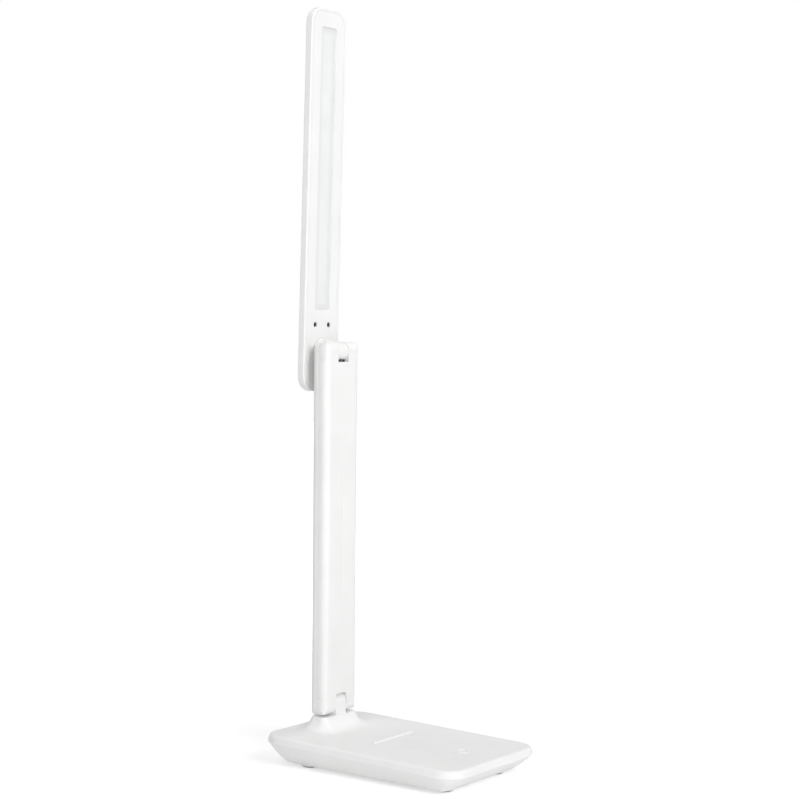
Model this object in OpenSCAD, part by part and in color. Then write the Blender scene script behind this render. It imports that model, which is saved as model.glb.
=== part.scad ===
// Folding LED desk lamp: a weighted base with a neck, a swing arm, and a slim head that tilts and swivels.
// Millimetres. X is the width, Y runs from the front to the back, Z is up from the floor.
// The origin is on the floor under the middle of the base.

/* [Base] */
// Width of the base at its parting line
base_w = 106; // [100:1:120]
// Length of the base at its parting line, front to back
base_l = 163.4; // [140:0.2:185]
// Height of the top surface above the floor at the back edge
base_back_h = 23.2; // [22.6:0.1:26]
// Height of the top surface above the floor at the front edge
base_front_h = 18.1; // [17:0.1:19]
// Corner radius of the base in plan
base_corner_r = 15.5; // [15.5:0.5:20]
// Radius that rounds the top edge of the base
rim_r = 2.5; // [1.5:0.1:3]
// Depth of the top shell's side, from the top surface down to the parting line
rim_depth = 4.9; // [4.5:0.1:5.2]
// Slope of the top shell's side, from the vertical
rim_angle = 12; // [2:1:18]
// Wall thickness of both base shells
base_wall = 2; // [1.6:0.1:2.2]
// How far the underside draws in from the parting line at the back
belly_inset = 15; // [12:0.5:15]
// Slope of the lower side just below the parting line, from the vertical
belly_angle = 34; // [22:1:36]
// How far the underside draws in from the parting line at the front
front_inset = 13.3; // [12:0.1:15]
// Slope of the lower front just below the parting line, from the vertical
front_angle = 45; // [38:1:47]

/* [Base trim] */
// Length of the raised strip across the base
strip_l = 46; // [30:1:70]
// Width of the raised strip
strip_w = 2.4; // [2:0.1:4]
// Height of the strip above the top surface
strip_h = 1.3; // [0.8:0.1:2]
// Place of the strip behind the middle of the base
strip_y = 5.3; // [-10:0.5:15]
// Outer diameter of the touch mark
mark_d = 9.8; // [8:0.2:14]
// Distance of the touch mark from the front edge of the base
mark_setback = 30.1; // [26:0.1:36]
// Line width of the touch mark
mark_line = 0.9; // [0.6:0.1:1.4]
// Height of the touch mark above the top surface
mark_h = 0.45; // [0.2:0.05:0.8]

/* [Feet] */
// Diameter of a rubber foot
foot_d = 11; // [9.5:0.5:12]
// Height of a foot and its cone below the underside
foot_h = 2.4; // [1.8:0.1:2.6]
// How far the rubber stands out of its cone
foot_out = 0.7; // [0.5:0.1:1]
// Distance of each foot from the centre line
foot_x = 30; // [30:0.1:31]
// Distance of the back feet from the back edge of the base
foot_back_setback = 27.2; // [27:0.2:32]
// Distance of the front feet from the front edge of the base
foot_front_setback = 23.1; // [22.9:0.1:30]

/* [Neck and hinges] */
// Height of the lower hinge axis above the floor
hinge_h = 39.4; // [37:0.1:44]
// Distance of the lower hinge axis from the back edge of the base
hinge_setback = 23.7; // [23:0.1:28]
// Radius of the hollow flare that joins the neck to the base
flare_r = 12.5; // [10:0.5:13]
// Gap between the neck and the arm's end where it swings past
seat_gap = 0.25; // [0.2:0.05:0.6]
// Width of the slots at the ends of the arm
slot_w = 12; // [10:0.5:14]
// Thickness of the friction washers on each side of a tongue
washer_t = 0.3; // [0.3:0.05:0.8]
// Diameter of the hinge bolts
bolt_d = 4; // [3:0.5:4]
// Gap round the hinge caps
cap_gap = 0.2; // [0.1:0.01:0.4]
// How far the lower tongue lies behind the arm's face
tongue_inset = 0.3; // [0.1:0.1:0.8]
// How far the knuckle lies behind the arm's face
knuckle_inset = 0.55; // [0.3:0.05:1]

/* [Arm] */
// Width of the arm
arm_w = 36.7; // [34:0.1:40]
// Depth of the arm, front to back
arm_d = 14.1; // [13.5:0.1:16]
// Distance between the two hinge axes
arm_pitch = 247.4; // [180:0.2:300]
// Radius of the arm's long edges
arm_edge_r = 4.5; // [2:0.5:5]
// Radius of the corners at the ends of the arm, seen from the front
arm_end_r = 4; // [2:0.5:6]
// Radius of the corners at the ends of the arm, seen from the side
nose_r = 6; // [4:0.1:6.5]
// Forward lean of the arm as photographed
arm_lean = 0.54; // [0:0.02:5]
// Wall thickness of the arm's sides and back
arm_wall = 1.8; // [1.4:0.1:2.2]
// Thickness of the arm's front wall
arm_front_wall = 1.4; // [1.2:0.1:1.6]
// Place of the side seam behind the middle of the arm
arm_seam_y = -0.2; // [-0.5:0.1:1]
// Height of the seam lines left between covers
seam_gap = 0.15; // [0.1:0.05:0.3]
// Start of the groove down the arm's front, above the lower hinge axis
groove_start = 76.6; // [30:0.2:85]
// Length of the groove
groove_l = 88.4; // [40:0.2:95]
// Width of the groove
groove_w = 2.6; // [0.8:0.1:4]
// Depth of the groove
groove_depth = 0.4; // [0.2:0.05:0.6]
// Gap between the knuckle and the floor of the upper slot
floor_gap = 0.5; // [0.4:0.05:1]
// Length of a hinge cap, from the hinge axis towards the middle of the arm
cap_reach = 5.4; // [4.5:0.1:8]
// Thickness of a hinge cap
cap_t = 1.6; // [1.2:0.1:2]

/* [Head] */
// Width of the head
head_w = 38.5; // [36:0.5:46]
// Length of the head below the swivel axis
head_down = 28.2; // [22:0.1:32]
// Thickness of the head
head_t = 6; // [6:0.1:8]
// Corner radius of the head
head_corner_r = 11.5; // [6:0.5:14]
// Forward lean of the head as photographed
head_lean = 1.89; // [0:0.01:10]
// Distance from the upper hinge axis to the front of the head
head_gap = 13.1; // [12.9:0.1:16]
// Width of the rim that the cover shows around the front panel
head_rim = 2.2; // [1.6:0.1:3]
// Thickness of the back wall of the cover
head_wall = 1.4; // [1.2:0.1:1.6]
// Thickness of the front panel
panel_t = 1.8; // [1.6:0.1:2]

/* [Light] */
// Width of the lit window
window_w = 17; // [14:0.5:20]
// Length of the lit window
window_l = 197.2; // [150:0.1:225]
// Distance from the top of the head to the window
window_top = 13; // [10:0.5:18]
// Distance from the window to the swivel axis
window_to_pivot = 29; // [26:0.1:34]
// Depth of the diffuser's face behind the panel's face
window_sink = 1.2; // [0.4:0.1:1.2]
// Radius of the lit window's corners
window_corner_r = 2; // [0.5:0.1:4]
// Thickness of the diffuser
diffuser_t = 1.2; // [1:0.1:1.4]
// Number of light rows
led_rows = 18; // [8:1:24]

/* [Swivel] */
// Diameter of the swivel disc
disc_d = 18.6; // [17.6:0.1:22]
// Diameter of the hollow swivel shaft
shaft_d = 12; // [10:0.5:13]
// Bore of the hollow swivel shaft
shaft_bore = 8; // [7:0.5:8]
// Distance of the two head screws above the swivel axis
screw_up = 18.6; // [16:0.1:22]
// Distance between the two head screws
screw_gap = 14.9; // [14:0.1:20]

/* [Inside the base] */
// Distance of the steel ballast plate from the front edge of the base
ballast_front = 18.5; // [18.5:0.5:30]
// Distance of the steel ballast plate from the back edge of the base
ballast_back = 61; // [60:1:70]
// Width of the steel ballast plate
ballast_w = 49; // [30:1:50]
// Thickness of the steel ballast plate
ballast_t = 4; // [2:0.5:4]
// Width of the battery
battery_w = 48; // [30:1:50]
// Length of the battery
battery_l = 34; // [25:1:45]
// Thickness of the battery
battery_t = 6; // [4:0.5:6]
// Width of the main board
board_w = 44; // [40:1:46]
// Length of the main board
board_l = 31; // [31:0.5:33]
// Width of the charging socket
usb_w = 8.9; // [8.9:0.1:9.2]
// Height of the charging socket
usb_h = 3.2; // [3.2:0.1:3.4]

/* [Hidden] */
$fn = 64;
white = [0.95, 0.95, 0.95];
pale = [0.88, 0.88, 0.9];
steel = [0.7, 0.7, 0.72];
dark = [0.1, 0.1, 0.11];
board_green = [0.1, 0.35, 0.2];
eps = 0.01;
through = 60;              // longer than any wall that a hole goes through
run_fit = 0.05;            // radial clearance of a part that turns on a pin
thread_fit = 0.05;         // radial clearance of a screw in its pilot hole
base_screw_d = 3;
base_screw_l = 8;
base_screw_head_d = 5.6;
base_screw_head_h = 2.1;
small_screw_d = 2;         // shank of the board's and the head's screws
board_screw_l = 6;
board_screw_head_d = 3.6;
board_screw_head_h = 1.3;
head_screw_l = 3.2;
head_screw_head_d = 3.4;
head_screw_head_h = 0.8;

// Base
tilt = asin((base_back_h - base_front_h) / base_l);
top_l = base_l / cos(tilt);
mid_h = (base_back_h + base_front_h) / 2;
top_wall = base_wall + 0.2;
floor_z = foot_h + base_wall;
belly_depth = base_back_h - rim_depth - foot_h;
belly_chord = norm([belly_inset, belly_depth]);
belly_r = belly_chord / (2 * sin(atan(belly_inset / belly_depth) - belly_angle));
lip_t = 1;
lip_h = 1.4;
lip_gap = 0.15;
foot_sink = 1;
cone_h = foot_h - foot_out;
cone_spread = 2;
front_depth = base_front_h - rim_depth - foot_h;
front_chord = norm([front_inset, front_depth]);
front_r = front_chord / (2 * sin(atan(front_inset / front_depth) - front_angle));
front_spread = 5.5;
foot_back_y = base_l / 2 - foot_back_setback;
foot_front_y = base_l / 2 - foot_front_setback;
foot_points = [for (x = [-foot_x, foot_x], y = [foot_back_y, -foot_front_y]) [x, y]];
mark_y = base_l / 2 - mark_setback;

// Neck and lower hinge
hinge_y = base_l / 2 - hinge_setback;
nose_reach = (arm_d / 2 - nose_r) * sqrt(2) + nose_r;
neck_w = arm_w;
neck_d = arm_d;
neck_r = arm_edge_r;
neck_top = hinge_h - nose_reach - seat_gap;
neck_h = neck_top - surface_z(hinge_y);
flare_start = flare_r - sqrt(pow(flare_r, 2) - pow(flare_r - neck_h, 2));
flare_reach = flare_r - flare_start;
tongue_w = slot_w - 2 * washer_t;
tongue_r = arm_d / 2 - tongue_inset;
tongue_nose_r = 6;
tongue_root = hinge_h - neck_top + 1.5;
slot_end = (tongue_r - tongue_nose_r) * sqrt(2) + tongue_nose_r + 0.25;
channel_y = 4.4;
channel_w = 5;
channel_d = 2.2;
lead_d = 1.3;
lead_x = 1.3;

// Arm
arm_end = arm_d / 2;
slot_floor = arm_d / 2 - knuckle_inset + floor_gap;
bolt_head_d = 1.75 * bolt_d;
bolt_head_t = 0.55 * bolt_d;
nut_t = 0.8 * bolt_d;
cap_front_y = -arm_d / 2 + 2.45;
ear_in = slot_w / 2;
pocket_x = arm_w / 2 - cap_t;
arm_hollow_low = slot_end + 2.2;
arm_hollow_top = slot_floor + 2.6;
arm_lead_x = 2.6;
arm_lead_y = -arm_d / 2 + arm_front_wall + lead_d / 2;

// Knuckle and swivel
knuckle_r = arm_d / 2 - knuckle_inset;
knuckle_cut = 2.2;
knuckle_half = 5.5;
stem_y = 2.6;
lip_low = 5.15;
lip_back = 3.6;
disc_front = nose_reach + 0.35;
disc_back = head_gap - 0.3;
shaft_end = head_gap + panel_t + 1.6;
clip_front = head_gap + panel_t + 0.6;
clip_t = 0.65;

// Head, drawn face up: the face is at z = 0 and the back is below it
head_up = window_top + window_l + window_to_pivot;
head_l = head_up + head_down;
head_mid = (head_up - head_down) / 2;
window_mid = head_up - window_top - window_l / 2;
diffuser_edge = 1.5;
diffuser_back = -window_sink - diffuser_t;
led_board_t = 1;
led_board_back = -head_t + head_wall;
led_board_w = window_w + 3;
led_board_l = window_l + 3;
led_face = led_board_back + led_board_t;
led_t = 0.6;
led_pitch = (window_l - 12) / (led_rows - 1);
led_x = 4;
sheet_t = 0.2;

// Inside the base
board_z = floor_z + 7.4;
board_t = 1.6;
board_front = hinge_y - 16;
board_top = board_z + board_t;
post_d = 5;
post_points = [for (x = [-18, 18], y = [board_front + 4, hinge_y + 4]) [x, y]];
usb_l = 7.4;
usb_z = board_top + usb_h / 2;
usb_mouth = base_l / 2 - 3.4;
ballast_l = base_l - ballast_front - ballast_back;
ballast_y = (ballast_front - ballast_back) / 2;
battery_y = ballast_y + 9;
touch_board_w = 22;
touch_plug_x = 7.5;
battery_z = floor_z + ballast_t;
plug_w = 31;
plug_h = 2.6;
plug_z = board_top + plug_h / 2;

// Height of the top surface above the floor at a place y
function surface_z(y) = mid_h + y * tan(tilt);

// ---------------------------------------------------------------- frames

// The base's top surface: z = 0 on the surface, y = 0 over the middle of the base
module on_top() {
    translate([0, -rim_depth * sin(tilt), mid_h]) rotate([tilt, 0, 0]) children();
}

// The arm as it stands: the origin is on the lower hinge axis
module arm_pose() {
    translate([0, hinge_y, hinge_h]) rotate([arm_lean, 0, 0]) children();
}

// The knuckle as it stands: the origin is on the upper hinge axis, y runs back to the head
module knuckle_pose() {
    arm_pose() translate([0, 0, arm_pitch]) rotate([head_lean - arm_lean, 0, 0]) children();
}

// The head lying face up: x across, y up the head from the swivel axis, z = 0 on its face
module head_pose() {
    knuckle_pose() translate([0, head_gap, 0]) rotate([90, 0, 0]) children();
}

// Hinge parts are drawn around the lower hinge axis, and the upper hinge mirrors them
module at_upper_hinge() {
    translate([0, 0, arm_pitch]) mirror([0, 0, 1]) children();
}

// ---------------------------------------------------------------- shared shapes

module rounded_rect(w, l, r) {
    square([w - 2 * r, l], center = true);
    square([w, l - 2 * r], center = true);
    for (x = [-1, 1], y = [-1, 1]) translate([x * (w / 2 - r), y * (l / 2 - r)]) circle(r);
}

module rounded_plate(w, l, r, low, high) {
    translate([0, 0, low]) linear_extrude(high - low) rounded_rect(w, l, r);
}

// A block with a rounded plan whose side follows a 2D profile: the profile's x runs out from the centre of
// the plan's corner, which has radius r, and its y is the height
module profiled_block(w, l, r, low, high) {
    for (turn = [0, 180]) rotate(turn) {
        translate([w / 2 - r, l / 2 - r, 0]) rotate_extrude(angle = 90) children();
        translate([r - w / 2, l / 2 - r, 0]) rotate(90) rotate_extrude(angle = 90) children();
        translate([w / 2 - r, l / 2 - r, 0]) rotate([90, 0, 0]) linear_extrude(l - 2 * r) children();
        translate([r - w / 2, l / 2 - r, 0]) rotate([90, 0, 90]) linear_extrude(w - 2 * r) children();
    }
    translate([r - w / 2, r - l / 2, low]) cube([w - 2 * r, l - 2 * r, high - low]);
}

// Profile of a side of height high - low whose top edge is rounded
module rounded_side(r, low, high, edge) {
    translate([0, low]) square([r, high - low - edge]);
    translate([0, high - edge - eps]) square([r - edge, edge + eps]);
    translate([r - edge, high - edge]) intersection() {
        circle(edge);
        square(edge);
    }
}

// Side of the top shell: a slanted face below a rounded edge
module rim_side() {
    middle = base_corner_r - (rim_r + (rim_depth - rim_r) * sin(rim_angle)) / cos(rim_angle);
    out = [cos(rim_angle), sin(rim_angle)];
    polygon([[0, -rim_depth], [base_corner_r, -rim_depth], [middle, -rim_r] + rim_r * out,
             [middle, -rim_r], [middle, 0], [0, 0]]);
    translate([middle, -rim_r]) intersection() {
        circle(rim_r);
        square(rim_r);
    }
}

// A cylinder along X
module rod_x(d, from, to) {
    translate([from, 0, 0]) rotate([0, 90, 0]) cylinder(d = d, h = to - from);
}

// A cylinder along Y
module rod_y(d, from, to) {
    translate([0, from, 0]) rotate([-90, 0, 0]) cylinder(d = d, h = to - from);
}

// A screw that points up: the head's lower face is at z = 0
module screw(head_d, head_h, shank_d, length) {
    cylinder(d = head_d, h = head_h);
    translate([0, 0, head_h - eps]) cylinder(d = shank_d, h = length + eps);
}

function unit(v) = v / norm(v);
function side_of(t) = unit([1, 0, 0] - t * t[0]);
function tangent(path, i) =
    unit(path[min(i + 1, len(path) - 1)] - path[max(i - 1, 0)]);

// A round wire along a path that never runs along X for long
module wire(path, d, sides = 8) {
    points = [for (i = [0:len(path) - 1])
                  let (t = tangent(path, i), u = side_of(t), v = cross(t, u))
                      for (k = [0:sides - 1])
                          path[i] + d / 2 * (cos(360 * k / sides) * u + sin(360 * k / sides) * v)];
    last = (len(path) - 1) * sides;
    walls = [for (i = [0:len(path) - 2], k = [0:sides - 1])
                 let (a = i * sides + k, b = i * sides + (k + 1) % sides)
                     [a, a + sides, b + sides, b]];
    polyhedron(points, concat([[for (k = [0:sides - 1]) k]],
                              walls,
                              [[for (k = [sides - 1:-1:0]) last + k]]));
}

// Smooth step from 0 to 1
function ease(s) = (1 - cos(180 * s)) / 2;

// ---------------------------------------------------------------- base

module flare_profile() {
    difference() {
        translate([0, -top_wall]) square([neck_r + flare_reach, neck_h + top_wall]);
        translate([neck_r + flare_reach, flare_r]) circle(flare_r);
    }
}

module neck_flare() {
    translate([0, hinge_y / cos(tilt), 0])
        profiled_block(neck_w, neck_d, neck_r, -top_wall, neck_h) flare_profile();
}

module neck_hole(w, d, r, low, high) {
    translate([0, hinge_y / cos(tilt), 0]) rounded_plate(w, d, r, low, high);
}

module strip_block(grow) {
    translate([0, strip_y, 0])
        profiled_block(strip_l + grow, strip_w + grow, (strip_w + grow) / 2 - 0.1, -0.8, strip_h)
            rounded_side((strip_w + grow) / 2 - 0.1, -0.8, strip_h, 0.8);
}

module mark_outline(grow) {
    difference() {
        circle(d = mark_d + grow);
        circle(d = mark_d - 2 * mark_line - grow);
        translate([-1.2 + grow / 2, 0]) square([2.4 - grow, mark_d]);
    }
    translate([-(mark_line + grow) / 2, mark_d * 0.08])
        square([mark_line + grow, mark_d * 0.45]);
}

module base_top_shell() color(white) {
    boss_d = 7;
    difference() {
        union() {
            on_top() {
                difference() {
                    profiled_block(base_w, top_l, base_corner_r, -rim_depth, 0) rim_side();
                    rounded_plate(base_w - 2 * base_wall, top_l - 2 * base_wall,
                                  base_corner_r - base_wall, -rim_depth - 1, -top_wall);
                    neck_hole(neck_w + 2 * flare_reach, neck_d + 2 * flare_reach,
                              neck_r + flare_reach, -top_wall - 1, 1);
                }
                difference() {
                    neck_flare();
                    neck_hole(neck_w - 6, neck_d - 6, neck_r / 2, -top_wall - 1, neck_h - 3);
                }
            }
            translate([-tongue_w / 2, hinge_y, hinge_h]) rotate([90, 0, 90]) linear_extrude(tongue_w) {
                rounded_rect(2 * tongue_r, 2 * tongue_r, tongue_nose_r);
                translate([-tongue_r, -tongue_root]) square([2 * tongue_r, tongue_root]);
            }
            for (p = foot_points)
                translate([p[0], p[1], floor_z + 3.3])
                    cylinder(d = boss_d, h = surface_z(p[1]) - 1 - floor_z - 3.3);
        }
        translate([0, hinge_y, hinge_h]) rod_x(bolt_d + 2 * run_fit, -through / 2, through / 2);
        translate([-channel_w / 2, hinge_y + channel_y - channel_d / 2, surface_z(hinge_y) - top_wall - 1])
            cube([channel_w, channel_d, through]);
        for (p = foot_points)
            translate([p[0], p[1], floor_z + 3])
                cylinder(d = base_screw_d + 2 * thread_fit, h = surface_z(p[1]) - 3 - floor_z - 3);
        on_top() {
            strip_block(0.1);
            translate([0, -mark_y, -0.4]) linear_extrude(1) mark_outline(0.1);
        }
    }
}

// The lower side of the base: an arc from the parting line, at radius r, that curves in under the base
module belly_profile(r, arc_r, angle, inset, low, high) {
    intersection() {
        translate([r - arc_r * cos(angle), arc_r * sin(angle)]) circle(arc_r - inset, $fn = 180);
        translate([0, low]) square([r + 5, high - low]);
    }
}

// The underside's shape: one arc all round, and a flatter one that cuts its front
module belly(inset, low, high) {
    wide_r = base_corner_r + front_spread;
    intersection() {
        profiled_block(base_w, top_l, base_corner_r, low, high)
            belly_profile(base_corner_r, belly_r, belly_angle, inset, low, high);
        translate([0, front_spread, 0])
            profiled_block(base_w + 2 * front_spread, top_l + 2 * front_spread, wide_r, low, high)
                belly_profile(wide_r, front_r, front_angle, inset, low, high);
    }
}

module above_floor(z) {
    translate([-base_w, -base_l, z]) cube([2 * base_w, 2 * base_l, 3 * base_back_h]);
}

module base_bottom_shell() color(white) {
    boss_d = 9.6;
    difference() {
        union() {
            difference() {
                intersection() {
                    on_top() translate([0, 0, -rim_depth]) belly(0, -belly_depth, 0);
                    above_floor(foot_h);
                }
                intersection() {
                    on_top() translate([0, 0, -rim_depth]) belly(base_wall, -belly_depth, 1);
                    above_floor(floor_z);
                }
            }
            on_top() translate([0, 0, -rim_depth]) difference() {
                rounded_plate(base_w - 2 * (base_wall + lip_gap), top_l - 2 * (base_wall + lip_gap),
                              base_corner_r - base_wall - lip_gap, -1.6, lip_h);
                rounded_plate(base_w - 2 * (base_wall + lip_gap + lip_t),
                              top_l - 2 * (base_wall + lip_gap + lip_t),
                              base_corner_r - base_wall - lip_gap - lip_t, -3, lip_h + 1);
            }
            for (p = foot_points) translate([p[0], p[1], foot_out]) {
                cylinder(d1 = foot_d + 1, d2 = foot_d + 1 + 2 * cone_spread, h = cone_h + eps);
                cylinder(d = boss_d, h = cone_h + base_wall + 3);
            }
            for (p = post_points)
                translate([p[0], p[1], floor_z - 1]) cylinder(d = post_d, h = board_z - floor_z + 1);
        }
        for (p = foot_points) translate([p[0], p[1], 0]) {
            cylinder(d = foot_d + 0.2, h = foot_out + foot_sink);
            cylinder(d = base_screw_head_d + 0.6, h = foot_h + foot_sink + base_screw_head_h + 0.1);
            cylinder(d = base_screw_d + 0.4, h = through);
        }
        for (p = post_points)
            translate([p[0], p[1], floor_z + 1]) cylinder(d = small_screw_d + 2 * thread_fit, h = through);
        translate([0, usb_mouth - usb_l, usb_z]) rotate([-90, 0, 0])
            linear_extrude(through) rounded_rect(usb_w + 0.6, usb_h + 0.6, usb_h / 2);
    }
}

module cross_strip() color(white) on_top() strip_block(0);

module touch_mark() color(pale) {
    on_top() translate([0, -mark_y, -0.4]) linear_extrude(mark_h + 0.4) mark_outline(0);
}

module touch_board() color(board_green) {
    on_top() translate([0, -mark_y, -top_wall]) {
        rounded_plate(touch_board_w, touch_board_w, 2, -1, 0);
        translate([touch_plug_x - 2.5, touch_board_w / 2 - 2, -2]) cube([5, 2, 1.01]);
    }
}

module touch_lead() color(dark) {
    start = [touch_plug_x, touch_board_w / 2 - mark_y, surface_z(-mark_y) - top_wall - 1.5];
    finish = [plug_w / 2 - 3, board_front, plug_z];
    over = battery_z + battery_t + 0.9;
    wire([start, start + [0, 4, 0], [touch_plug_x, battery_y - battery_l / 2, over],
          [touch_plug_x, battery_y, over], [touch_plug_x + 0.5, battery_y + battery_l / 2 + 4, over],
          [(touch_plug_x + finish[0]) / 2, board_front - 14, (over + plug_z) / 2],
          finish - [0, 4, 0], finish], 1.1);
}

module main_board() color(board_green) {
    translate([-board_w / 2, board_front, board_z]) difference() {
        cube([board_w, board_l, board_t]);
        for (p = post_points)
            translate([p[0] + board_w / 2, p[1] - board_front, -1]) cylinder(d = small_screw_d + 0.4, h = 5);
    }
    translate([-plug_w / 2, board_front, board_top - eps]) cube([plug_w, 2.4, plug_h + eps]);
    translate([4, hinge_y - 8, board_top - eps]) cube([7, 7, 1]);
    translate([-12, hinge_y - 8, board_top - eps]) cube([6, 6, 2.5]);
}

module board_screws() color(steel) {
    for (p = post_points)
        translate([p[0], p[1], board_top + board_screw_head_h]) mirror([0, 0, 1])
            screw(board_screw_head_d, board_screw_head_h, small_screw_d, board_screw_l);
}

module usb_socket() color(steel) {
    translate([0, usb_mouth, usb_z]) rotate([90, 0, 0]) {
        difference() {
            linear_extrude(usb_l) rounded_rect(usb_w, usb_h, usb_h / 2 - 0.1);
            translate([0, 0, -1]) linear_extrude(usb_l - 0.2)
                rounded_rect(usb_w - 0.6, usb_h - 0.6, usb_h / 2 - 0.4);
        }
        translate([-3.3, -0.35, 0.7]) cube([6.6, 0.7, usb_l - 1.5]);
    }
}

module battery_pack() color([0.75, 0.77, 0.8]) {
    translate([0, battery_y, battery_z])
        profiled_block(battery_w, battery_l, 3, 0, battery_t) rounded_side(3, 0, battery_t, 1.5);
}

module battery_leads() color([0.7, 0.1, 0.1]) {
    back = battery_y + battery_l / 2;
    for (x = [-14, -11])
        wire([[x, back, battery_z + 3], [x, back + 3, battery_z + 3], [x, back + 12, battery_z + 3.2],
              [x, board_front - 6, plug_z], [x, board_front, plug_z]], 1.2);
}

module ballast_plate() color(steel) {
    translate([0, ballast_y, 0]) rounded_plate(ballast_w, ballast_l, 2, floor_z, floor_z + ballast_t);
}

module rubber_feet() color(dark) {
    soft_edge = 0.4;
    for (p = foot_points) translate([p[0], p[1], 0]) rotate_extrude()
        polygon([[0, 0], [foot_d / 2 - soft_edge, 0], [foot_d / 2, soft_edge],
                 [foot_d / 2, foot_out + foot_sink], [0, foot_out + foot_sink]]);
}

module base_screws() color(steel) {
    for (p = foot_points)
        translate([p[0], p[1], foot_h + foot_sink + 0.1])
            screw(base_screw_head_d, base_screw_head_h, base_screw_d, base_screw_l);
}

module base_leads() color(dark) {
    for (x = [-lead_x, lead_x])
        translate([x, hinge_y + channel_y, board_top])
            cylinder(d = lead_d, h = hinge_h + tongue_r * 0.7 - board_top);
}

// ---------------------------------------------------------------- arm

// The whole outside of the arm: corners rounded in the side view and in the front view, and soft edges
module arm_envelope() {
    intersection() {
        rounded_plate(arm_w, arm_d, arm_edge_r, -arm_end, arm_pitch + arm_end);
        translate([-arm_w / 2, 0, arm_pitch / 2]) rotate([90, 0, 90])
            linear_extrude(arm_w) rounded_rect(arm_d, arm_pitch + 2 * arm_end, nose_r);
        translate([0, arm_d / 2, arm_pitch / 2]) rotate([90, 0, 0])
            linear_extrude(arm_d) rounded_rect(arm_w, arm_pitch + 2 * arm_end, arm_end_r);
    }
}

// Pocket and bore that one hinge needs in the arm, around the lower hinge axis
module hinge_cuts() {
    rod_x(bolt_d + 2 * run_fit, -pocket_x, pocket_x);
    rod_x(bolt_head_d + 0.4, -pocket_x - eps, -pocket_x + bolt_head_t + 0.1);
    translate([pocket_x - nut_t - 0.1, 0, 0]) rotate([0, 90, 0])
        cylinder(d = 2 * bolt_d + 0.3, h = nut_t + 0.2, $fn = 6);
    for (side = [-1, 1]) cap_zone(side, cap_gap);
}

// The place of a hinge cap on one side of the arm
module cap_zone(side, grow) {
    low = -arm_end - 1;
    middle_x = arm_w / 2 + 1 - cap_t / 2;
    translate([side * middle_x, (arm_seam_y + cap_front_y) / 2, (cap_reach + low) / 2])
        cube([cap_t + 2, arm_seam_y - cap_front_y + 2 * grow, cap_reach - low + 2 * grow], center = true);
}

module arm_body() {
    difference() {
        arm_envelope();
        // lower slot around the neck's tongue
        translate([-ear_in, -arm_d, -arm_d]) cube([slot_w, 2 * arm_d, arm_d + slot_end]);
        // upper slot around the knuckle
        translate([-ear_in, -arm_d, arm_pitch - slot_floor]) cube([slot_w, 2 * arm_d, 2 * arm_d]);
        // hollow for the leads
        translate([-arm_w / 2 + arm_wall, -arm_d / 2 + arm_front_wall, arm_hollow_low])
            cube([arm_w - 2 * arm_wall, arm_d - arm_front_wall - arm_wall,
                  arm_pitch - arm_hollow_low - arm_hollow_top]);
        // lead holes in the slot ends
        translate([-channel_w / 2, channel_y - 1.2, 0]) cube([channel_w, 2.4, arm_hollow_low + 1]);
        for (x = [-arm_lead_x, arm_lead_x])
            translate([x, arm_lead_y, arm_pitch - arm_hollow_top - 1])
                cylinder(d = lead_d + 0.2, h = arm_hollow_top);
        hinge_cuts();
        at_upper_hinge() hinge_cuts();
    }
}

module front_half() {
    translate([-arm_w, -arm_d, -arm_d]) cube([2 * arm_w, arm_d + arm_seam_y, arm_pitch + 2 * arm_d]);
}

module arm_front_shell() color(white) {
    arm_pose() difference() {
        intersection() {
            arm_body();
            front_half();
        }
        // the groove
        translate([0, groove_depth - arm_d / 2, groove_start + groove_l / 2]) rotate([90, 0, 0])
            linear_extrude(groove_depth + 1) rounded_rect(groove_w, groove_l, groove_w / 2 - 0.05);
    }
}

module arm_back_cover() color(white) {
    arm_pose() difference() {
        arm_body();
        translate([0, seam_gap, 0]) front_half();
    }
}

module arm_leads() color(dark) {
    bend_l = 34;
    start = slot_end + 0.4;
    finish = arm_pitch - sqrt(pow(knuckle_r + 0.3, 2) - pow(arm_lead_y + lead_d / 2, 2));
    arm_pose() for (side = [-1, 1])
        wire(concat([for (s = [0:0.125:1]) [side * (lead_x + (arm_lead_x - lead_x) * ease(s)),
                                            channel_y + (arm_lead_y - channel_y) * ease(s),
                                            start + bend_l * s]],
                    [[side * arm_lead_x, arm_lead_y, finish]]), lead_d, 12);
}

module hinge_bolt() {
    head_from = -pocket_x + 0.1;
    rod_x(bolt_head_d, head_from, head_from + bolt_head_t);
    rod_x(bolt_d, head_from + bolt_head_t - eps, pocket_x - 0.3);
}

module hinge_nut() {
    translate([pocket_x - nut_t, 0, 0]) rotate([0, 90, 0]) difference() {
        cylinder(d = 2 * bolt_d, h = nut_t - 0.1, $fn = 6);
        translate([0, 0, -1]) cylinder(d = bolt_d + 2 * thread_fit, h = nut_t + 2);
    }
}

module hinge_washers() {
    for (side = [-1, 1]) difference() {
        rod_x(2 * bolt_d + 1.5, side > 0 ? ear_in - washer_t + run_fit : -ear_in,
              side > 0 ? ear_in : -ear_in + washer_t - run_fit);
        rod_x(bolt_d + 2 * run_fit, -through / 2, through / 2);
    }
}

module hinge_caps() {
    intersection() {
        arm_envelope();
        for (side = [-1, 1]) cap_zone(side, 0);
    }
}

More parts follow.
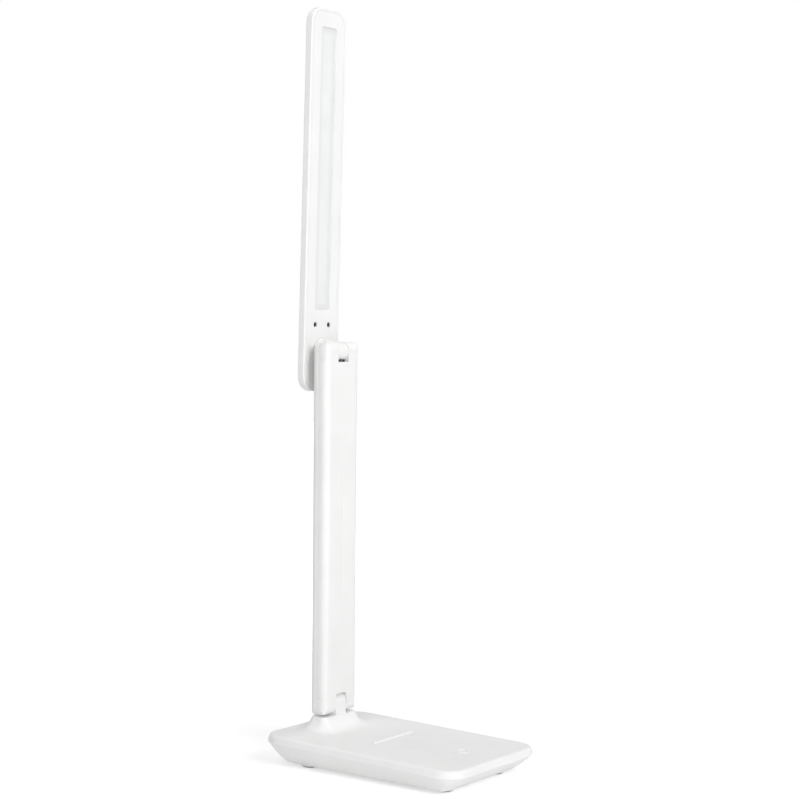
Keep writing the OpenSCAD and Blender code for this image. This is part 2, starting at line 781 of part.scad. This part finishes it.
module lower_hinge_bolt() color(steel) arm_pose() hinge_bolt();
module lower_hinge_nut() color(steel) arm_pose() hinge_nut();
module lower_hinge_washers() color(dark) arm_pose() hinge_washers();
module lower_hinge_caps() color(white) arm_pose() hinge_caps();
module upper_hinge_bolt() color(steel) arm_pose() at_upper_hinge() hinge_bolt();
module upper_hinge_nut() color(steel) arm_pose() at_upper_hinge() hinge_nut();
module upper_hinge_washers() color(dark) arm_pose() at_upper_hinge() hinge_washers();
module upper_hinge_caps() color(white) arm_pose() at_upper_hinge() hinge_caps();

// ---------------------------------------------------------------- knuckle and swivel

module head_knuckle() color(white) {
    knuckle_pose() difference() {
        union() {
            difference() {
                rod_x(2 * knuckle_r, -tongue_w / 2, tongue_w / 2);
                // room for the leads behind a lip
                translate([-slot_w, -arm_d, -arm_d]) cube([2 * slot_w, arm_d + stem_y, arm_d - lip_low]);
                translate([-slot_w, -lip_back, -arm_d])
                    cube([2 * slot_w, lip_back + stem_y, arm_d - knuckle_cut]);
            }
            translate([-tongue_w / 2, stem_y, -knuckle_half])
                cube([tongue_w, disc_front - stem_y + 1, 2 * knuckle_half]);
            rod_y(disc_d, disc_front, disc_back - 0.6);
            rod_y(disc_d - 1.6, disc_front + 1, disc_back);
            rod_y(shaft_d, disc_back - 1, shaft_end);
        }
        rod_x(bolt_d + 2 * run_fit, -through / 2, through / 2);
        rod_y(shaft_bore, disc_front + 0.6, shaft_end + 1);
        translate([-3, 0, -4]) cube([6, disc_front + 1, 2.4]);
        // groove for the clip
        difference() {
            rod_y(shaft_d + 1, clip_front - 0.02, clip_front + clip_t + 0.05);
            rod_y(shaft_d - 1.6, clip_front - 1, clip_front + clip_t + 1);
        }
    }
}

module knuckle_leads() color(dark) {
    knuckle_pose() for (x = [-1.6, 1.6])
        wire([[x, shaft_end, -2.8], [x, 6, -2.9], [x, 2.4, -2.95],
              [x, -0.4, -3.2], [x, -2.1, -4], [x, -2.7, -5]], lead_d, 12);
}

module ring_y(outer, inner, from, to) {
    difference() {
        rod_y(outer, from, to);
        rod_y(inner, from - 1, to + 1);
    }
}

module swivel_pad() color(dark) {
    knuckle_pose() ring_y(disc_d - 3, shaft_d + 0.1, disc_back, disc_back + 0.2);
}

module swivel_washer() color(steel) {
    knuckle_pose() ring_y(shaft_d + 4, shaft_d + 0.1, head_gap + panel_t + 0.1, clip_front);
}

module swivel_clip() color(steel) {
    knuckle_pose() difference() {
        ring_y(shaft_d + 2.4, shaft_d - 1.5, clip_front, clip_front + clip_t);
        translate([-2.4, clip_front - 1, 0]) cube([4.8, clip_t + 2, shaft_d]);
    }
}

// ---------------------------------------------------------------- head, drawn face up

module in_head() {
    translate([0, head_mid, 0]) children();
}

module in_window() {
    translate([0, window_mid, 0]) children();
}

module head_back_cover() color(white) {
    inner_w = head_w - 2 * head_rim;
    inner_l = head_l - 2 * head_rim;
    head_pose() difference() {
        union() {
            difference() {
                in_head() profiled_block(head_w, head_l, head_corner_r, -head_t, 0) intersection() {
                    rounded_side(head_corner_r, -head_t, 0, 0.8);
                    translate([0, -head_t]) mirror([0, 1]) translate([0, -head_t])
                        rounded_side(head_corner_r, 0, head_t, 1.6);
                }
                in_head() rounded_plate(inner_w, inner_l, head_corner_r - head_rim, -head_t + head_wall, 1);
            }
            for (x = [-screw_gap / 2, screw_gap / 2])
                translate([x, screw_up, -head_t + head_wall - eps])
                    cylinder(d = 5, h = head_t - head_wall - panel_t - 0.8 + eps);
        }
        for (x = [-screw_gap / 2, screw_gap / 2])
            translate([x, screw_up, -head_t + 0.6]) cylinder(d = small_screw_d + 2 * thread_fit, h = head_t);
    }
}

module head_front_panel() color(white) {
    w = head_w - 2 * head_rim - 2 * seam_gap;
    l = head_l - 2 * head_rim - 2 * seam_gap;
    r = head_corner_r - head_rim - seam_gap;
    head_pose() difference() {
        union() {
            in_head() rounded_plate(w, l, r, -panel_t, 0);
            for (x = [-screw_gap / 2, screw_gap / 2])
                translate([x, screw_up, -panel_t - 0.8]) cylinder(d = 6.4, h = panel_t);
        }
        in_window() rounded_plate(window_w, window_l, window_corner_r, -panel_t - 1, 1);
        in_window() rounded_plate(window_w + 2 * diffuser_edge + 0.2, window_l + 2 * diffuser_edge + 0.2,
                                  window_corner_r, -panel_t - 1, -window_sink);
        translate([0, 0, -5]) cylinder(d = shaft_d + 2 * run_fit, h = 10);
        for (x = [-screw_gap / 2, screw_gap / 2]) translate([x, screw_up, 0]) {
            translate([0, 0, -panel_t]) cylinder(d = head_screw_head_d + 0.4, h = 5);
            translate([0, 0, -5]) cylinder(d = small_screw_d + 0.3, h = 10);
        }
    }
}

module head_screws() color(steel) {
    head_pose() for (x = [-screw_gap / 2, screw_gap / 2])
        translate([x, screw_up, -panel_t + head_screw_head_h]) mirror([0, 0, 1]) difference() {
            screw(head_screw_head_d, head_screw_head_h, small_screw_d, head_screw_l);
            cube([2.4, 0.5, 0.7], center = true);
            cube([0.5, 2.4, 0.7], center = true);
        }
}

module diffuser() color([0.97, 0.97, 0.94]) {
    head_pose() in_window()
        rounded_plate(window_w + 2 * diffuser_edge, window_l + 2 * diffuser_edge, window_corner_r,
                      diffuser_back, -window_sink);
}

module led_grid() {
    for (i = [0:led_rows - 1], x = [-led_x, led_x])
        translate([x, (i - (led_rows - 1) / 2) * led_pitch, 0]) children();
}

module reflector_sheet() color(white) {
    head_pose() in_window() difference() {
        translate([-led_board_w / 2, -led_board_l / 2, led_face]) cube([led_board_w, led_board_l, sheet_t]);
        led_grid() translate([0, 0, led_face]) cube([3.2, 3.9, 2], center = true);
    }
}

module led_board() color(board_green) {
    head_pose() in_window()
        translate([-led_board_w / 2, -led_board_l / 2, led_board_back])
            cube([led_board_w, led_board_l, led_board_t]);
}

module leds() color([1, 0.93, 0.6]) {
    head_pose() in_window() led_grid()
        translate([-1.4, -1.75, led_face]) cube([2.8, 3.5, led_t]);
}

module head_leads() color(dark) {
    board_end = window_mid - led_board_l / 2;
    head_pose() for (x = [-1.6, 1.6])
        wire([[x, -2.8, -panel_t - 2], [x, -1.6, -panel_t - 2.2], [x, 1, -panel_t - 2.25],
              [x, 12, led_board_back + 0.5], [x, board_end, led_board_back + 0.5]], 0.9);
}

base_top_shell();
base_bottom_shell();
cross_strip();
touch_mark();
touch_board();
touch_lead();
main_board();
board_screws();
usb_socket();
battery_pack();
battery_leads();
ballast_plate();
rubber_feet();
base_screws();
base_leads();
arm_front_shell();
arm_back_cover();
arm_leads();
lower_hinge_bolt();
lower_hinge_nut();
lower_hinge_washers();
lower_hinge_caps();
upper_hinge_bolt();
upper_hinge_nut();
upper_hinge_washers();
upper_hinge_caps();
head_knuckle();
knuckle_leads();
swivel_pad();
swivel_washer();
swivel_clip();
head_back_cover();
head_front_panel();
diffuser();
reflector_sheet();
led_board();
leds();
head_screws();
head_leads();
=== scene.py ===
"""Folding LED desk lamp: materials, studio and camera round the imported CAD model."""

import math

import bpy
from mathutils import Matrix, Vector

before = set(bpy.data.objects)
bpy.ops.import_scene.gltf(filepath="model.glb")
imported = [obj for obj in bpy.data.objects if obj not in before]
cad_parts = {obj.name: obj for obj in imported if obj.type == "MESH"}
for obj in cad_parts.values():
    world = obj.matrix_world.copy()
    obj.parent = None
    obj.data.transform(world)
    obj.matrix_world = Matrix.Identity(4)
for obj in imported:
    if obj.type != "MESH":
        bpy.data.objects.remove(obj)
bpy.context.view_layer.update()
scene = bpy.context.scene

# ---------------------------------------------------------------- camera
# degrees from the lamp's back direction towards its right side
CAMERA_HEADING = 53.734
# degrees above the horizon, negative when the camera looks down
CAMERA_PITCH = -1.928
CAMERA_ROLL = 0.075
# millimetres, for a 36 mm sensor
CAMERA_LENS = 81.466
SENSOR_WIDTH = 36.0
# metres from the point that the camera looks at
CAMERA_DISTANCE = 1.2379
TARGET_ASIDE = 0.000067
TARGET_HEIGHT = 0.2541


def add_camera():
    """Puts the camera where it was fitted to the photograph."""
    heading, pitch = math.radians(CAMERA_HEADING), math.radians(CAMERA_PITCH)
    roll = math.radians(CAMERA_ROLL)
    forward = Vector(
        (
            math.sin(heading) * math.cos(pitch),
            math.cos(heading) * math.cos(pitch),
            math.sin(pitch),
        )
    )
    level = Vector((math.cos(heading), -math.sin(heading), 0.0))
    upright = level.cross(forward)
    right = level * math.cos(roll) + upright * math.sin(roll)
    up = upright * math.cos(roll) - level * math.sin(roll)
    target = level * TARGET_ASIDE + Vector((0.0, 0.0, TARGET_HEIGHT))
    place = target - forward * CAMERA_DISTANCE
    data = bpy.data.cameras.new("camera")
    data.sensor_width = SENSOR_WIDTH
    data.lens = CAMERA_LENS
    data.clip_start, data.clip_end = 0.05, 50.0
    camera = bpy.data.objects.new("camera", data)
    scene.collection.objects.link(camera)
    turn = Matrix((right, up, -forward)).transposed()
    camera.matrix_world = Matrix.Translation(place) @ turn.to_4x4()
    scene.camera = camera


add_camera()


# ---------------------------------------------------------------- node helpers
def new_material(name):
    """A material with an empty node tree."""
    made = bpy.data.materials.new(name)
    made.use_nodes = True
    made.node_tree.nodes.clear()
    return made, made.node_tree


def node(tree, kind, **properties):
    """A node of this kind with these properties set."""
    made = tree.nodes.new(kind)
    for key, value in properties.items():
        setattr(made, key, value)
    return made


def link(tree, source, target):
    """Joins an output to an input."""
    tree.links.new(source, target)


def noise(tree, place, size, detail=2.0, roughness=0.5):
    """A noise whose features are about this many metres across."""
    made = node(tree, "ShaderNodeTexNoise")
    made.inputs["Scale"].default_value = 1.0 / size
    made.inputs["Detail"].default_value = detail
    made.inputs["Roughness"].default_value = roughness
    link(tree, place, made.inputs["Vector"])
    return made.outputs["Fac"]


def spread(tree, factor, low, high, low_at=0.3, high_at=0.7):
    """Maps a factor to a number between low and high."""
    made = node(tree, "ShaderNodeMapRange")
    made.inputs["From Min"].default_value = low_at
    made.inputs["From Max"].default_value = high_at
    made.inputs["To Min"].default_value = low
    made.inputs["To Max"].default_value = high
    link(tree, factor, made.inputs["Value"])
    return made.outputs["Result"]


def two_tone(tree, factor, first, second):
    """The first colour up to a low factor, the second from a high one, and a blend between."""
    ramp = node(tree, "ShaderNodeValToRGB")
    ramp.color_ramp.elements[0].position = 0.35
    ramp.color_ramp.elements[1].position = 0.65
    ramp.color_ramp.elements[0].color = (*first, 1.0)
    ramp.color_ramp.elements[1].color = (*second, 1.0)
    link(tree, factor, ramp.inputs["Fac"])
    return ramp.outputs["Color"]


def bump(tree, height, strength, distance):
    """A normal bent by a height from 0 to 1, where 1 stands out by this distance in metres."""
    made = node(tree, "ShaderNodeBump")
    made.inputs["Strength"].default_value = strength
    made.inputs["Distance"].default_value = distance
    link(tree, height, made.inputs["Height"])
    return made.outputs["Normal"]


def finish_material(tree, shader):
    """Shows the shader on the surface."""
    out = node(tree, "ShaderNodeOutputMaterial")
    link(tree, shader, out.inputs["Surface"])


def shade(tone, factor):
    """The tone made darker or lighter by a factor."""
    return tuple(c * factor for c in tone)


def plastic(name, tone, rough, grain=0.00035, relief=0.00002):
    """Moulded plastic: spark-eroded grain, slow flow marks and a little unevenness in its gloss."""
    made, tree = new_material(name)
    place = node(tree, "ShaderNodeTexCoord").outputs["Object"]
    flow = noise(tree, place, 0.035, detail=3.0)
    fine = noise(tree, place, grain, detail=3.0, roughness=0.6)
    smear = noise(tree, place, 0.006, detail=4.0)
    shader = node(tree, "ShaderNodeBsdfPrincipled")
    colour = two_tone(tree, flow, shade(tone, 0.97), tone)
    link(tree, colour, shader.inputs["Base Color"])
    gloss = spread(tree, smear, rough * 0.92, rough * 1.1)
    link(tree, gloss, shader.inputs["Roughness"])
    link(tree, bump(tree, fine, 0.35, relief), shader.inputs["Normal"])
    finish_material(tree, shader.outputs["BSDF"])
    return made


def metal(name, tone, rough, stretch=(1.0, 1.0, 1.0), spots=0.1):
    """Plated or rolled metal: fine drawing lines, cloudy gloss and faint spots."""
    made, tree = new_material(name)
    place = node(tree, "ShaderNodeTexCoord").outputs["Object"]
    drawn = node(tree, "ShaderNodeMapping")
    drawn.inputs["Scale"].default_value = stretch
    link(tree, place, drawn.inputs["Vector"])
    lines = noise(tree, drawn.outputs["Vector"], 0.0004, detail=3.0)
    cloud = noise(tree, place, 0.008, detail=4.0)
    shader = node(tree, "ShaderNodeBsdfPrincipled")
    shader.inputs["Metallic"].default_value = 1.0
    colour = two_tone(tree, cloud, shade(tone, 1.0 - spots), tone)
    link(tree, colour, shader.inputs["Base Color"])
    link(tree, spread(tree, lines, rough * 0.8, rough * 1.25), shader.inputs["Roughness"])
    link(tree, bump(tree, lines, 0.2, 0.00002), shader.inputs["Normal"])
    finish_material(tree, shader.outputs["BSDF"])
    return made


# ---------------------------------------------------------------- materials
WHITE = (0.88, 0.88, 0.875)
TRIM_WHITE = (0.9, 0.9, 0.9)
MILK_LOW, MILK_HIGH = (0.81, 0.82, 0.82), (0.84, 0.85, 0.85)
# painted shade: the sheet's colour along the window's edge, darker as if shaded by the recess
MILK_PAINTED_SHADE = (0.735, 0.745, 0.745)
# metres: the window in the head, the diffuser's rim behind its frame, and the strip inside it where
# the recess's shade is painted into the sheet
WINDOW_WIDTH, WINDOW_LENGTH = 0.017, 0.1972
DIFFUSER_RIM = 0.0015
PAINTED_SHADE_STRIP = 0.0055


def painted_shade_ramp(tree, off_middle, window):
    """Goes from 0 to 1 across the strip of painted shade, by the share of the diffuser's size off
    its middle.
    """
    whole = window + 2 * DIFFUSER_RIM
    edge = window / 2 / whole
    return spread(tree, off_middle, 0.0, 1.0, edge - PAINTED_SHADE_STRIP / whole, edge)


def painted_recess_shade(tree):
    """1 along the window's edge, where the recess's shade is painted into the sheet as a darker
    colour, and 0 inside.
    """
    coordinates = node(tree, "ShaderNodeTexCoord")
    centred = node(tree, "ShaderNodeVectorMath", operation="SUBTRACT")
    link(tree, coordinates.outputs["Generated"], centred.inputs[0])
    centred.inputs[1].default_value = (0.5, 0.5, 0.5)
    away = node(tree, "ShaderNodeVectorMath", operation="ABSOLUTE")
    link(tree, centred.outputs["Vector"], away.inputs[0])
    parts = node(tree, "ShaderNodeSeparateXYZ")
    link(tree, away.outputs["Vector"], parts.inputs["Vector"])
    nearest = node(tree, "ShaderNodeMath", operation="MAXIMUM")
    link(tree, painted_shade_ramp(tree, parts.outputs["X"], WINDOW_WIDTH), nearest.inputs[0])
    link(tree, painted_shade_ramp(tree, parts.outputs["Z"], WINDOW_LENGTH), nearest.inputs[1])
    return nearest.outputs["Value"]


def diffuser_plastic():
    """Milky light-spreading sheet: light goes a little way in, a fine matt grain covers it, and
    painted shade darkens it along the window's edge.
    """
    made, tree = new_material("milky_diffuser")
    place = node(tree, "ShaderNodeTexCoord").outputs["Object"]
    flow = noise(tree, place, 0.03, detail=2.0)
    fine = noise(tree, place, 0.0005, detail=2.0)
    shader = node(tree, "ShaderNodeBsdfPrincipled")
    milk = two_tone(tree, flow, MILK_LOW, MILK_HIGH)
    tone = node(tree, "ShaderNodeMix", data_type="RGBA")
    # the colour sockets of a mix node come after its number and vector sockets
    first, second, mixed = tone.inputs[6], tone.inputs[7], tone.outputs[2]
    # painted shade: the colour turns darker towards the window's edge
    link(tree, painted_recess_shade(tree), tone.inputs["Factor"])
    link(tree, milk, first)
    second.default_value = (*MILK_PAINTED_SHADE, 1.0)
    link(tree, mixed, shader.inputs["Base Color"])
    shader.inputs["Subsurface Weight"].default_value = 0.35
    shader.inputs["Subsurface Radius"].default_value = (0.0012, 0.0011, 0.001)
    shader.inputs["Subsurface Scale"].default_value = 1.0
    link(tree, spread(tree, fine, 0.34, 0.46), shader.inputs["Roughness"])
    link(tree, bump(tree, fine, 0.25, 0.00002), shader.inputs["Normal"])
    finish_material(tree, shader.outputs["BSDF"])
    return made


def circuit_board(name, mask, copper):
    """Lacquered board with the tracks' shadow under its lacquer."""
    made, tree = new_material(name)
    place = node(tree, "ShaderNodeTexCoord").outputs["Object"]
    tracks = node(tree, "ShaderNodeTexBrick")
    tracks.inputs["Scale"].default_value = 260.0
    tracks.inputs["Mortar Size"].default_value = 0.03
    tracks.inputs["Color1"].default_value = (*mask, 1.0)
    tracks.inputs["Color2"].default_value = (*shade(mask, 0.85), 1.0)
    tracks.inputs["Mortar"].default_value = (*copper, 1.0)
    link(tree, place, tracks.inputs["Vector"])
    shader = node(tree, "ShaderNodeBsdfPrincipled")
    link(tree, tracks.outputs["Color"], shader.inputs["Base Color"])
    shader.inputs["Roughness"].default_value = 0.32
    link(tree, bump(tree, tracks.outputs["Fac"], 0.3, 0.00003), shader.inputs["Normal"])
    finish_material(tree, shader.outputs["BSDF"])
    return made


def foil_pouch():
    """Matt silver pouch of a flat cell, a little crumpled."""
    made, tree = new_material("pouch_foil")
    place = node(tree, "ShaderNodeTexCoord").outputs["Object"]
    creases = noise(tree, place, 0.006, detail=5.0)
    shader = node(tree, "ShaderNodeBsdfPrincipled")
    shader.inputs["Metallic"].default_value = 0.85
    colour = two_tone(tree, creases, (0.56, 0.57, 0.58), (0.66, 0.67, 0.68))
    link(tree, colour, shader.inputs["Base Color"])
    link(tree, spread(tree, creases, 0.36, 0.5), shader.inputs["Roughness"])
    link(tree, bump(tree, creases, 0.5, 0.0003), shader.inputs["Normal"])
    finish_material(tree, shader.outputs["BSDF"])
    return made


FINISHES = {
    "white_shell": plastic("white_shell", WHITE, 0.36),
    "white_trim": plastic("white_trim", TRIM_WHITE, 0.3, relief=0.00001),
    "mark_white": plastic("mark_white", (0.95, 0.95, 0.95), 0.3, grain=0.0003),
    "milky_diffuser": diffuser_plastic(),
    "reflector_white": plastic("reflector_white", (0.9, 0.9, 0.9), 0.55, grain=0.0002),
    "board_green": circuit_board("board_green", (0.03, 0.16, 0.07), (0.07, 0.24, 0.1)),
    "led_yellow": plastic("led_yellow", (0.85, 0.68, 0.16), 0.35, grain=0.0003),
    "wire_black": plastic("wire_black", (0.012, 0.012, 0.013), 0.42, grain=0.0004),
    "wire_red": plastic("wire_red", (0.45, 0.02, 0.02), 0.42, grain=0.0004),
    "pouch_foil": foil_pouch(),
    "steel": metal("steel", (0.62, 0.62, 0.63), 0.28, stretch=(1.0, 8.0, 8.0)),
    "ballast_steel": metal("ballast_steel", (0.42, 0.42, 0.43), 0.45, (1.0, 12.0, 1.0)),
    "socket_steel": metal("socket_steel", (0.6, 0.6, 0.61), 0.25, (1.0, 1.0, 6.0)),
    "screw_black": metal("screw_black", (0.05, 0.05, 0.055), 0.4, spots=0.2),
    "foot_rubber": plastic("foot_rubber", (0.1, 0.1, 0.105), 0.7, grain=0.0006, relief=0.00006),
    "washer_black": plastic("washer_black", (0.02, 0.02, 0.02), 0.6, grain=0.0005),
}

for name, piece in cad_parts.items():
    for slot in piece.material_slots:
        key = slot.material.name.split(".")[0] if slot.material else None
        if key in FINISHES:
            slot.material = FINISHES[key]
        else:
            print("no finish for", name, key)


# ---------------------------------------------------------------- studio
FLOOR_SIZE = 8.0
FLOOR_TONE = (0.85, 0.85, 0.85)
# light that the floor sends up to the lamp
FLOOR_GLOW = 0.18
# what the camera sees of the floor's own light, near the lamp and far from it
NEAR_LIFT, FAR_LIFT = 0.4, 1.0
# metres from the lamp's middle where the near part ends and the far part starts
NEAR_END, FAR_START = 0.15, 0.8
# strength of the world as a light
AMBIENT = 0.18
# size of a softbox and its distance from the lamp's middle
SOFTBOX_WIDTH, SOFTBOX_HEIGHT = 1.0, 1.2
SOFTBOX_DISTANCE = 2.0
LIT_MIDDLE = Vector((0.0, 0.0, 0.25))


def add_floor():
    """A pale floor that keeps the lamp's shadow and is white to the camera elsewhere."""
    mesh = bpy.data.meshes.new("floor")
    half = FLOOR_SIZE / 2
    corners = [(-half, -half, 0), (half, -half, 0), (half, half, 0), (-half, half, 0)]
    mesh.from_pydata(corners, [], [(0, 1, 2, 3)])
    floor = bpy.data.objects.new("floor", mesh)
    scene.collection.objects.link(floor)
    made, tree = new_material("floor")
    matt = node(tree, "ShaderNodeBsdfDiffuse")
    matt.inputs["Color"].default_value = (*FLOOR_TONE, 1.0)
    glow = node(tree, "ShaderNodeEmission")
    rays = node(tree, "ShaderNodeLightPath")
    place = node(tree, "ShaderNodeTexCoord").outputs["Object"]
    away = node(tree, "ShaderNodeVectorMath", operation="LENGTH")
    link(tree, place, away.inputs[0])
    lift = spread(tree, away.outputs["Value"], NEAR_LIFT, FAR_LIFT, NEAR_END, FAR_START)
    seen = node(tree, "ShaderNodeMix", data_type="FLOAT")
    link(tree, rays.outputs["Is Camera Ray"], seen.inputs["Factor"])
    seen.inputs["A"].default_value = FLOOR_GLOW
    link(tree, lift, seen.inputs["B"])
    link(tree, seen.outputs["Result"], glow.inputs["Strength"])
    both = node(tree, "ShaderNodeAddShader")
    link(tree, matt.outputs["BSDF"], both.inputs[0])
    link(tree, glow.outputs["Emission"], both.inputs[1])
    finish_material(tree, both.outputs["Shader"])
    mesh.materials.append(made)


def add_world():
    """White where the camera sees it, through clear parts and in mirrors; dimmer as a light."""
    world = bpy.data.worlds.new("studio")
    scene.world = world
    world.use_nodes = True
    tree = world.node_tree
    tree.nodes.clear()
    rays = node(tree, "ShaderNodeLightPath")
    seen = node(tree, "ShaderNodeMath", operation="MAXIMUM")
    link(tree, rays.outputs["Is Camera Ray"], seen.inputs[0])
    link(tree, rays.outputs["Is Transmission Ray"], seen.inputs[1])
    shown = node(tree, "ShaderNodeMath", operation="MAXIMUM")
    link(tree, seen.outputs["Value"], shown.inputs[0])
    link(tree, rays.outputs["Is Glossy Ray"], shown.inputs[1])
    strength = spread(tree, shown.outputs["Value"], AMBIENT, 1.0, 0.0, 1.0)
    back = node(tree, "ShaderNodeBackground")
    back.inputs["Color"].default_value = (1.0, 1.0, 1.0, 1.0)
    link(tree, strength, back.inputs["Strength"])
    out = node(tree, "ShaderNodeOutputWorld")
    link(tree, back.outputs["Background"], out.inputs["Surface"])


def add_softbox(name, heading, height_angle, power):
    """An area lamp aimed at the middle, by degrees from the front towards the right, and upwards."""
    data = bpy.data.lights.new(name, "AREA")
    data.shape = "RECTANGLE"
    data.size, data.size_y = SOFTBOX_WIDTH, SOFTBOX_HEIGHT
    data.energy = power
    turn, rise = math.radians(heading), math.radians(height_angle)
    out = Vector((math.sin(turn) * math.cos(rise), -math.cos(turn) * math.cos(rise), math.sin(rise)))
    box = bpy.data.objects.new(name, data)
    scene.collection.objects.link(box)
    box.location = LIT_MIDDLE + out * SOFTBOX_DISTANCE
    box.rotation_mode = "QUATERNION"
    box.rotation_quaternion = (-out).to_track_quat("-Z", "Y")


add_floor()
add_world()
add_softbox("front_box", -20.0, 20.0, 22.6)
add_softbox("side_box", -80.0, 20.0, 7.2)
add_softbox("high_right_box", 60.0, 55.0, 9.6)
add_softbox("high_left_box", -80.0, 55.0, 5.9)
add_softbox("back_box", 180.0, 55.0, 5.9)
scene.view_settings.view_transform = "Standard"
